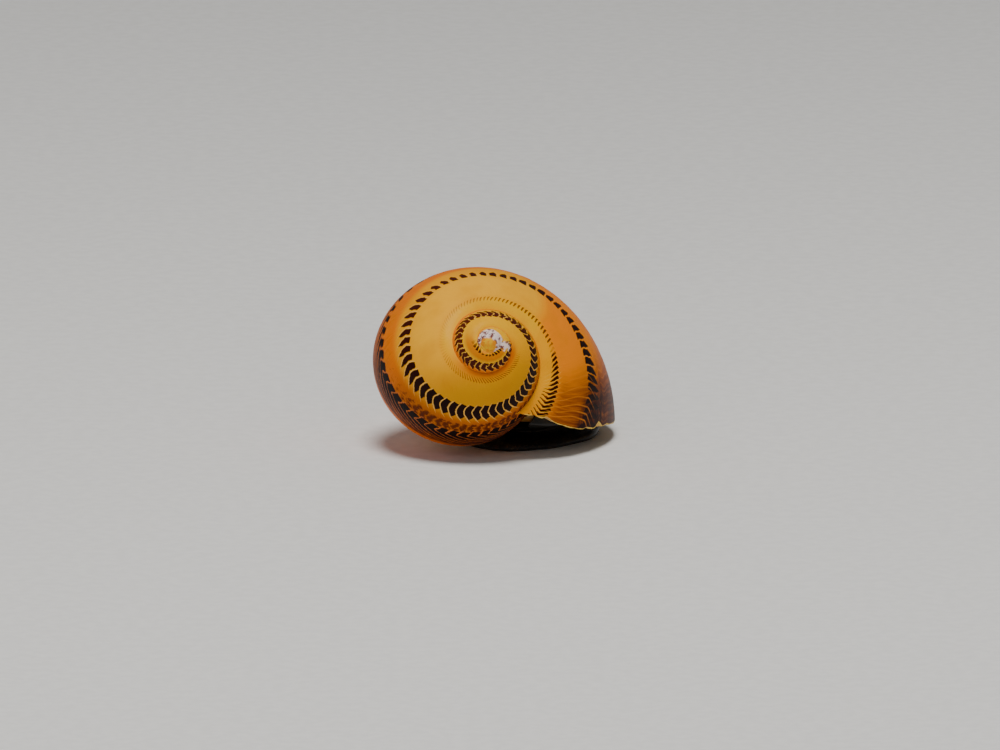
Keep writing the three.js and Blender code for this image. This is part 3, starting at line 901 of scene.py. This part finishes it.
def shell_noises(g):
    around = g.mark("around")
    growth = g.mark("growth")
    slanted = g.add(around, g.times(growth, -0.35))
    leaning = g.add(growth, g.times(around, 1.5))
    return SimpleNamespace(
        fine=g.noise(g.place(), 2.6, 4.0, 0.6),
        blotch=g.noise(g.place(), 0.45, 3.0),
        speck=g.noise(g.place(), 5.0, 2.0),
        lines=g.noise(g.vector(growth, g.times(around, 0.06), 0.0), 0.55, 5.0, 0.65),
        ragged=g.noise(g.vector(g.times(growth, 0.5), around, 0.0), 0.5, 4.0, 0.65),
        draped=g.noise(g.vector(g.times(growth, 0.12), slanted, 0.0), 0.9, 4.0, 0.65),
        backward=g.noise(g.vector(leaning, g.times(around, 0.25), 0.0), 0.5, 4.0, 0.65),
        threads=g.noise(g.vector(growth, g.times(around, 0.03), 0.0), 1.5, 4.0, 0.6),
    )


def ground_layers(g, n):
    coat = GROUND
    for name, tint in GROUND_TINTS:
        coat = g.mix(g.mark(name), coat, tint)
    coat = g.mix(g.ramp(n.blotch, 0.4, 0.75, 0.0, 0.3), coat, (214, 130, 0))
    coat = g.mix(g.ramp(n.lines, 0.58, 0.85, 0.0, 0.16), coat, (190, 92, 0))
    grown = g.add(g.times(g.mark("outer"), 0.24), 0.05)
    coat = g.mix(g.times(g.ramp(n.threads, 0.5, 0.72), grown), coat, (150, 52, 0))
    return g.mix(g.times(g.ramp(n.threads, 0.45, 0.3), grown), coat, (252, 156, 20))


def wash_layers(g, n, coat):
    washed = g.times(g.mark("wash"), g.ramp(n.lines, 0.68, 0.42, 0.55, 1.0))
    coat = g.mix(washed, coat, (108, 36, 0))
    smeared = g.times(g.mark("brown"), g.ramp(n.draped, 0.68, 0.46, 0.3, 1.0))
    coat = g.mix(smeared, coat, (44, 12, 4))
    streaked = g.times(g.mark("streak"), g.ramp(n.backward, 0.68, 0.48, 0.45, 1.0))
    return g.mix(streaked, coat, (52, 9, 5))


def row_masks(g, row, share, wobble, soft):
    """1 in the dark marks of a row, and 1 in the pale line just ahead of each."""
    spot = g.math("FRACT", g.add(g.mark(row + "_count"), wobble))
    ahead = g.less(spot, LEADING)
    behind = g.add(share, ahead)
    inside = g.math("MINIMUM", g.times(ahead, -1.0), behind)
    cream = g.math("MINIMUM", ahead, g.less(CREAM_WIDTH, ahead))
    return g.ramp(inside, -soft, soft), g.ramp(cream, -0.05, 0.03)


def row_a_masks(g, n):
    early = g.mark("early")
    share = g.shaken(g.mark("a_share"), g.random(g.math("FLOOR", g.mark("a_count"))), 0.1)
    share = g.add(share, g.times(early, g.wobble(n.ragged, 1.3)))
    wobble = g.add(g.wobble(n.fine, 0.35), g.times(early, g.wobble(n.fine, 0.9)))
    return row_masks(g, "a", share, wobble, 0.05)


def row_b_masks(g, n):
    share = g.shaken(g.mark("b_share"), n.fine, 0.25)
    share = g.add(share, g.times(g.mark("faint"), g.wobble(n.speck, 0.5)))
    return row_masks(g, "b", share, g.wobble(n.fine, 0.35), 0.09)


def row_layers(g, n, coat):
    a_mark, a_cream = row_a_masks(g, n)
    b_mark, b_cream = row_b_masks(g, n)
    c_share = g.shaken(g.mark("c_share"), n.ragged, 0.7)
    c_mark, c_cream = row_masks(g, "c", c_share, g.wobble(n.fine, 0.6), 0.09)
    d_share = g.shaken(g.mark("d_share"), n.ragged, 2.4)
    d_mark = row_masks(g, "d", d_share, g.wobble(n.fine, 1.4), 0.25)[0]

    coat = g.mix(g.times(d_mark, 0.9), coat, (76, 20, 3))
    c_light = g.times(g.mark("c_line"), c_cream, g.ramp(n.ragged, 0.3, 0.6, 0.45, 0.95))
    coat = g.mix(c_light, coat, (214, 116, 56))
    a_dark = g.mix(g.mark("a_ink"), (116, 44, 26), (16, 2, 2))
    coat = g.mix(a_mark, coat, a_dark)
    coat = g.mix(g.times(g.mark("a_cream"), a_cream, 0.9), coat, (252, 190, 92))
    coat = g.mix(g.times(g.mark("b_cream"), b_cream), coat, (255, 196, 70))
    b_dark = g.mix(g.mark("b_ink"), (168, 78, 0), (36, 5, 3))
    coat = g.mix(g.times(b_mark, g.mark("b_strength")), coat, b_dark)
    return g.mix(c_mark, coat, (18, 3, 3))


def lip_layers(g, n, coat):
    pale = 0.0
    for place in GROWTH_LINES:
        off = g.math("ABSOLUTE", g.less(g.mark("wavy"), place))
        pale = g.add(pale, g.ramp(off, 0.6, 0.15))
    pale = g.times(pale, g.mark("pale"), g.ramp(n.lines, 0.3, 0.6, 0.35, 0.85))
    coat = g.mix(pale, coat, (222, 130, 40))
    edge = g.ramp(g.shaken(g.mark("growth"), n.fine, 1.2), -0.5, -0.2)
    return g.mix(edge, coat, (250, 206, 96))


def tip_layers(g, n, coat, worn):
    chalk = g.mix(g.ramp(n.fine, 0.4, 0.52), (116, 62, 62), (250, 226, 218))
    patch_share = g.shaken(g.mark("patch"), n.speck, 1.6)
    coat = g.mix(g.ramp(patch_share, 0.6, 0.75, 0.0, 0.9), coat, chalk)
    coat = g.mix(worn, coat, chalk)
    heart = g.ramp(g.shaken(g.mark("heart"), n.fine, 0.35), 0.8, 0.64)
    gold = g.mix(g.ramp(n.fine, 0.4, 0.62), (246, 150, 20), (252, 190, 30))
    return g.mix(heart, coat, gold)


def porcelain_tone(g):
    cloud = g.noise(g.place(), 0.5, 4.0)
    return g.mix(g.ramp(cloud, 0.35, 0.7), (226, 160, 76), (240, 204, 140))


def shell_material():
    g = Graph("banded_shell")
    n = shell_noises(g)
    worn = g.ramp(g.shaken(g.mark("tip"), n.fine, 0.3), 1.12, 1.04)
    coat = ground_layers(g, n)
    coat = wash_layers(g, n, coat)
    coat = row_layers(g, n, coat)
    coat = lip_layers(g, n, coat)
    coat = tip_layers(g, n, coat, worn)
    glazed = g.ramp(g.shaken(g.mark("callus"), n.fine, 0.3), 0.1, 0.8)
    coat = g.mix(glazed, coat, porcelain_tone(g))

    height = g.add(g.times(n.lines, 0.6), g.times(n.fine, 0.12))
    height = g.add(height, g.times(worn, n.fine, 1.5))
    return g.finish(Base_Color=coat, Roughness=g.ramp(worn, 0.0, 1.0, 0.4, 0.7),
                    Normal=g.bump(height, 0.05, 0.7), Specular_IOR_Level=0.06,
                    Coat_Weight=0.02, Coat_Roughness=0.12)


def porcelain_material():
    g = Graph("porcelain")
    normal = g.bump(g.noise(g.place(), 2.0, 3.0), 0.05, 0.3)
    return g.finish(Base_Color=porcelain_tone(g), Roughness=0.3, Normal=normal, Coat_Weight=0.2)


# Flesh: one skin over the foot, the body, the head, the feelers and the eye stalks

FOOT_MIDDLE = (3.1, 14.0)
FOOT_HEADING = 62.0
FOOT_LONG = 6.8  # half its length and width
FOOT_WIDE = 5.4
FOOT_WAVES = [(-0.05, 1, 0.0), (-0.03, 3, 0.0), (0.012, 9, 1.0)]  # size, count and start
FOOT_TOP = 1.2
FOOT_PROFILE = [  # height and inset
    (0.0, 0.22), (0.05, 0.1), (0.14, 0.02), (0.26, 0.0), (0.4, 0.05), (0.55, 0.18), (0.72, 0.5), (0.9, 0.95),
    (1.05, 1.5), (FOOT_TOP, 2.2),
]
COLUMN_LEVELS = [  # height, middle in x and y, half length and half width
    (0.9, 3.2, 14.0, 4.5, 2.9), (1.5, 3.3, 13.9, 4.8, 3.2), (2.0, 3.9, 13.2, 6.3, 4.2),
    (2.8, 4.9, 12.2, 8.2, 5.4), (4.0, 5.2, 11.6, 10.0, 7.0), (7.2, 5.2, 11.6, 10.5, 7.5),
]
COLUMN_HEADING = 70.0
SKIN_GAP = 0.12
HEAD_MIDDLE = (7.3, 21.3)
HEAD_HEADING = 86.0
HEAD_STATIONS = [  # place along the head, half width, lowest and highest point
    (-3.6, 1.2, 1.0, 2.05), (-2.9, 1.3, 0.9, 2.2), (-2.0, 1.4, 0.7, 2.25), (-1.2, 1.55, 0.5, 2.3),
    (-0.4, 1.72, 0.3, 2.42), (0.3, 1.75, 0.2, 2.45), (0.9, 1.62, 0.14, 2.3), (1.4, 1.5, 0.12, 1.98),
    (1.9, 1.46, 0.12, 1.66), (2.3, 1.36, 0.14, 1.32), (2.6, 1.1, 0.2, 1.02), (2.75, 0.78, 0.3, 0.82),
]
SQUARENESS = 0.9
FEELER_SWING = {-1: 24.0, 1: -2.0}  # -1 is left and 1 is right
FEELER_LENGTH = {-1: 4.6, 1: 4.278}
FEELER_RADIUS = 0.4
FEELER_TIP = 0.13
STALK_PLACE = (0.1, 1.0, 1.95)
STALK_RUN = (0.12, 0.95, 0.55)
STALK_RADII = [(0, 0.48), (0.4, 0.4), (0.75, 0.37), (0.88, 0.34), (0.96, 0.26), (1, 0.1)]
EYE_RADIUS = 0.25
MOUTH_PLACE = (2.75, 0.5)  # along the head and up
MOUTH_WIDE = 0.8
MOUTH_WEDGE = [(0.5, -1.0), (0.5, 1.0), (-0.45, 0.3), (-0.45, -0.3)]
SKIN_CELL = 0.06


def round_angles(count):
    return np.linspace(0.0, 2 * math.pi, count, endpoint=False)


def foot_object():
    t = round_angles(220)
    blunt = 1 + sum(size * np.cos(waves * t + start) for size, waves, start in FOOT_WAVES)
    rings = []
    for z, inset in FOOT_PROFILE:
        long, wide = (FOOT_LONG - inset) * blunt, (FOOT_WIDE - inset) * blunt
        x, y = turned(long * np.cos(t), wide * np.sin(t), FOOT_HEADING)
        rings.append(np.stack([FOOT_MIDDLE[0] + x, FOOT_MIDDLE[1] + y, np.full_like(x, z)], axis=-1))
    return ring_object("foot_skin", np.array(rings))


def column_object(name, levels):
    t = round_angles(90)
    rings = []
    for z, middle_x, middle_y, long, wide in levels:
        x, y = turned(long * np.cos(t), wide * np.sin(t), COLUMN_HEADING)
        rings.append(np.stack([middle_x + x, middle_y + y, np.full_like(t, z)], axis=-1))
    return ring_object(name, np.array(rings))


def head_place(along, side, z):
    """Places along the head, to its right and up from the floor."""
    x, y = turned(along, -side, HEAD_HEADING)
    return np.stack(np.broadcast_arrays(HEAD_MIDDLE[0] + x, HEAD_MIDDLE[1] + y, z), axis=-1)


def head_object():
    places, widths, lows, highs = np.array(HEAD_STATIONS).T
    along = np.linspace(places[0], places[-1], 130)
    wide, low, high = (np.interp(along, places, sizes)[:, None] for sizes in (widths, lows, highs))
    t = round_angles(96)
    fold = 1.0 + 0.014 * np.sin(along * 17.0 + 0.8 * np.sin(along * 5.0)) * smooth(along, -3.4, -2.4)
    wrinkled = fold[:, None] + 0.008 * np.sin(9.0 * t + 4.0 * along[:, None])
    side = np.sign(np.cos(t)) * np.abs(np.cos(t)) ** SQUARENESS * wide * wrinkled
    lift = np.sign(np.sin(t)) * np.abs(np.sin(t)) ** SQUARENESS * ((high - low) / 2) * wrinkled
    bend = 0.18 * np.maximum(along - 1.8, 0.0)[:, None] * (1 - (side / wide) ** 2)
    return ring_object("head_skin", head_place(along[:, None] - bend, side, (high + low) / 2 + lift))


def tube_object(name, middles, radii):
    tangents = np.gradient(middles, axis=0)
    tangents /= np.linalg.norm(tangents, axis=1)[:, None]
    right = np.cross(tangents, np.array([0.0, 0.0, 1.0]))
    right /= np.linalg.norm(right, axis=1)[:, None]
    lift = np.cross(right, tangents)
    t = round_angles(40)[None, :, None]
    spokes = np.cos(t) * right[:, None, :] + np.sin(t) * lift[:, None, :]
    return ring_object(name, middles[:, None, :] + radii[:, None, None] * spokes)


def feeler_object(side):
    t = np.linspace(-0.12, 1.0, 90)
    heading = np.radians(HEAD_HEADING + FEELER_SWING[side] * (0.7 + 0.5 * t))
    run = FEELER_LENGTH[side] * t
    start = head_place(0.75, side * 0.95, 1.78)
    middles = start + np.stack([run * np.cos(heading), run * np.sin(heading), t - 0.9 * t * t], axis=-1)
    radii = FEELER_RADIUS + (FEELER_TIP - FEELER_RADIUS) * np.maximum(t, 0) ** 0.85
    radii *= 1 + 0.035 * np.sin(t * 190)
    end = np.clip((1.0 - t) / 0.025, 0.0, 1.0)
    radii *= np.sqrt(1 - (1 - end) ** 2) * 0.98 + 0.02
    return tube_object("feeler_skin", middles, radii)


def stalk_place(side, t):
    along, aside, up = (place + run * t for place, run in zip(STALK_PLACE, STALK_RUN))
    return head_place(along, side * aside, up)


def stalk_object(side):
    t = np.linspace(0.0, 1.0, 40)
    return tube_object("stalk_skin", stalk_place(side, t), np.interp(t, *zip(*STALK_RADII)))


def mouth_object():
    """A wedge that cuts the mouth's slit."""
    t = np.linspace(-1.0, 1.0, 41)
    half = 0.1 * (1.15 - t * t)
    middle = MOUTH_PLACE[0] - 0.3 * t * t
    level = MOUTH_PLACE[1] - 0.16 * t * t
    side = MOUTH_WIDE * t
    wedge = [head_place(middle + along, side, level + half * share) for along, share in MOUTH_WEDGE]
    return ring_object("mouth", np.stack(wedge, axis=1))


def joined(name, objects):
    """One object of several closed meshes, which are used up."""
    whole = bmesh.new()
    for one in objects:
        whole.from_mesh(one.data)
        remove_object(one)
    return add_shape(name, whole)


def shade_opening(mesh):
    """Paints shade on the skin that the shell's opening keeps in the dark."""
    points = vertex_places(mesh)[read(mesh.loops, "vertex_index", kind=int)]
    inside = smooth(points[:, 2], 1.0, 1.8) * smooth(points[:, 1], 18.0, 16.0)
    set_corner_values(mesh, "opening_shade", 0.9 * inside)


def build_skin():
    column = combine(opening_solid("column", SKIN_GAP), "INTERSECT", column_object("form", COLUMN_LEVELS))
    pieces = [column, column_object("neck", COLUMN_LEVELS[:3]), foot_object(), head_object()]
    for side in (-1, 1):
        pieces += [feeler_object(side), stalk_object(side)]
    skin = joined("skin", pieces)
    rebuild(skin, SKIN_CELL)
    combine(skin, "DIFFERENCE", mouth_object())
    soften(skin, 3)
    shade_opening(skin.data)
    return skin


def skin_material():
    g = Graph("wet_skin")
    mottle = g.noise(g.place(), 1.3, 5.0, 0.6)
    fine = g.noise(g.place(), 6.0, 3.0, 0.6)
    veins = g.math("ABSOLUTE", g.less(g.noise(g.place(), 2.2, 2.0, 0.5), 0.5))
    tone = g.mix(g.ramp(mottle, 0.42, 0.7), (15, 9, 7), (40, 27, 15))
    tone = g.mix(g.ramp(veins, 0.018, 0.006, 0.0, 0.45), tone, (104, 82, 48))
    tone = g.mix(g.ramp(fine, 0.64, 0.78, 0.0, 0.2), tone, (84, 66, 40))
    # painted shade: near-black skin inside the shell's opening
    tone = g.mix(g.mark("opening_shade"), tone, (5, 3, 2))
    normal = g.bump(g.add(g.times(mottle, 0.4), g.times(fine, 0.6)), 0.08, 0.6)
    return g.finish(Base_Color=tone, Roughness=0.42, Normal=normal, Specular_IOR_Level=0.3,
                    Coat_Weight=0.12, Coat_Roughness=0.2)


def eye_object(side):
    name = "eye_ball_left" if side < 0 else "eye_ball_right"
    return ball_object(name, stalk_place(side, 1.0), EYE_RADIUS, 48, 32)


def eye_material():
    g = Graph("wet_eye")
    depth = g.noise(g.place(), 3.0, 3.0)
    tone = g.mix(g.ramp(depth, 0.4, 0.7), (6, 6, 8), (26, 20, 18))
    return g.finish(Base_Color=tone, Roughness=0.08, Coat_Weight=1.0, Coat_Roughness=0.03)


# Operculum

OPERCULUM_MIDDLE = (-0.2, 10.2, 1.3)
OPERCULUM_TILT = 14.0
OPERCULUM_THICK = 0.3
OPERCULUM_OUTER = [(-0.93, -1.48), (0.93, -1.48), (1.3, 1.33), (-0.7, 1.63)]
OPERCULUM_INNER = [(-0.7, 1.63), (-1.12, 0.74), (-1.22, -0.74), (-0.93, -1.48)]
NUCLEUS = np.array([-0.75, -1.0])  # middle of its growth
OPERCULUM_EDGE = [(0.02, -1.0), (0.5, -1.0), (0.9, -1.0), (0.98, -0.7), (1.0, 0.0), (0.98, 0.7)]


def operculum_object():
    t = np.linspace(0.0, 1.0, 61)
    outline = np.vstack([bezier(OPERCULUM_OUTER, t)[:-1], bezier(OPERCULUM_INNER, t)[:-1]])
    rings_in = np.linspace(0.94, 0.02, 50)
    profile = OPERCULUM_EDGE + [(share, 0.86 + 0.1 * math.sin(share * 40.0)) for share in rings_in]
    rings = []
    for share, height in profile:
        flat = NUCLEUS + (outline - NUCLEUS) * share
        rings.append(np.column_stack([flat, np.full(len(flat), height * OPERCULUM_THICK / 2)]))
    made = ring_object("operculum_plate", np.array(rings))
    tilt = Matrix.Rotation(math.radians(-OPERCULUM_TILT), 4, "Y")
    heading = Matrix.Rotation(math.radians(FOOT_HEADING), 4, "Z")
    made.data.transform(Matrix.Translation(OPERCULUM_MIDDLE) @ heading @ tilt)
    return made


def operculum_material():
    g = Graph("limy_plate")
    cloud = g.noise(g.place(), 1.6, 4.0)
    grain = g.noise(g.place(), 9.0, 2.0)
    tone = g.mix(g.ramp(cloud, 0.35, 0.7), (92, 66, 52), (150, 118, 96))
    return g.finish(Base_Color=tone, Roughness=0.35, Normal=g.bump(grain, 0.05, 0.5), Coat_Weight=0.3)


# Scene

LIGHTS = [  # name, place, size, power and colour
    ("key", (0.0, -0.12, 0.5), 0.2, 2.2, (1.0, 0.98, 0.95)),
    ("fill", (-0.3, -0.55, 0.34), 0.4, 0.45, (1.0, 0.98, 0.96)),
]
LIT_PLACE = (0.0, 0.0, 0.008)

# The photograph's view: the pole's pixel, and pixels to the millimetre there
PHOTO_SIZE = (1000, 750)
POLE_PIXEL = (494.36, 336.16)
PIXELS_PER_MM = 12.0
VIEW_RISE = 12.0
VIEW_DISTANCE = 2.0


def frame_shift(made):
    """From the shell's middle in plan to its node's, in millimetres."""
    low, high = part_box("shell")
    places = vertex_places(made.data)
    x, y, _ = (places.min(axis=0) + places.max(axis=0)) / 2
    return Vector((low.x + high.x, low.y + high.y, 0.0)) / 2 / MM - Vector((x, y, 0.0))


def set_in_frame(made, shift):
    """From millimetres round the pole to the frame's metres."""
    made.data.transform(Matrix.Scale(MM, 4) @ Matrix.Translation(shift))
    made.data.update()


def smooth_faces(mesh):
    mesh.polygons.foreach_set("use_smooth", [True] * len(mesh.polygons))


def dress(made, material, slot, *nodes):
    """Gives a finished piece its material and its place in the frame, and hides the nodes it stands for."""
    made.data.materials.clear()
    made.data.materials.append(material)
    smooth_faces(made.data)
    set_in_frame(made, shift)
    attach(made, "root")
    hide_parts(*nodes)


def build_floor():
    half = 3.0
    mesh = bpy.data.meshes.new("floor")
    corners = [(-half, -half, 0), (half, -half, 0), (half, half, 0), (-half, half, 0)]
    mesh.from_pydata(corners, [], [(0, 1, 2, 3)])
    floor = link_object("floor", mesh)
    g = Graph("pale_floor")
    grain = g.noise(g.place(1.0), 900.0, 2.0)
    tone = g.mix(g.ramp(grain, 0.3, 0.7), (240, 239, 236), (246, 245, 242))
    floor.data.materials.append(g.finish(Base_Color=tone, Roughness=0.7))


def add_light(name, place, size, power, colour):
    data = bpy.data.lights.new(name, "AREA")
    data.shape = "DISK"
    data.size = size
    data.energy = power
    data.color = colour
    lamp = link_object(name, data)
    lamp.location = place
    lamp.rotation_euler = (Vector(LIT_PLACE) - Vector(place)).to_track_quat("-Z", "Y").to_euler()


def build_camera(pole):
    tilt = math.radians(VIEW_RISE)
    back = Vector((0.0, -math.cos(tilt), math.sin(tilt)))
    right = Vector((1.0, 0.0, 0.0))
    up = back.cross(right)
    aside = (PHOTO_SIZE[0] / 2 - POLE_PIXEL[0]) / PIXELS_PER_MM * MM
    below = (PHOTO_SIZE[1] / 2 - POLE_PIXEL[1]) / PIXELS_PER_MM * MM
    data = bpy.data.cameras.new("camera")
    data.sensor_width = 36.0
    data.lens = data.sensor_width * VIEW_DISTANCE / (PHOTO_SIZE[0] / PIXELS_PER_MM * MM)
    data.clip_start = 0.01
    data.clip_end = 20.0
    camera = link_object("camera", data)
    camera.location = pole + right * aside - up * below + back * VIEW_DISTANCE
    camera.rotation_euler = (-back).to_track_quat("-Z", "Y").to_euler()
    bpy.context.scene.camera = camera


def build_world():
    world = bpy.data.worlds.new("studio")
    bpy.context.scene.world = world
    world.use_nodes = True
    sky = world.node_tree.nodes["Background"]
    sky.inputs["Color"].default_value = (0.92, 0.95, 1.0, 1.0)
    sky.inputs["Strength"].default_value = 0.14


shell = build_shell()
shell.data.materials.clear()
mark_shell(shell.data)
shell.data.materials.append(shell_material())
shell.data.materials.append(porcelain_material())
smooth_faces(shell.data)
shell.data.set_sharp_from_angle(angle=math.radians(32))
shift = frame_shift(shell)
set_in_frame(shell, shift)
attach(shell, "root")
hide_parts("shell")

limbs = ("tentacle_", "eye_stalk_")
flesh_nodes = [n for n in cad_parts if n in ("foot", "body", "head", "snout") or n.startswith(limbs)]
dress(build_skin(), skin_material(), "skin", *sorted(flesh_nodes))
wet_eye = eye_material()
dress(eye_object(-1), wet_eye, "eye", "eye_left")
dress(eye_object(1), wet_eye, "eye", "eye_right")
dress(operculum_object(), operculum_material(), "operculum", "operculum")

build_floor()
build_world()
build_camera((Vector(POLE) + shift) * MM)
for light in LIGHTS:
    add_light(*light)
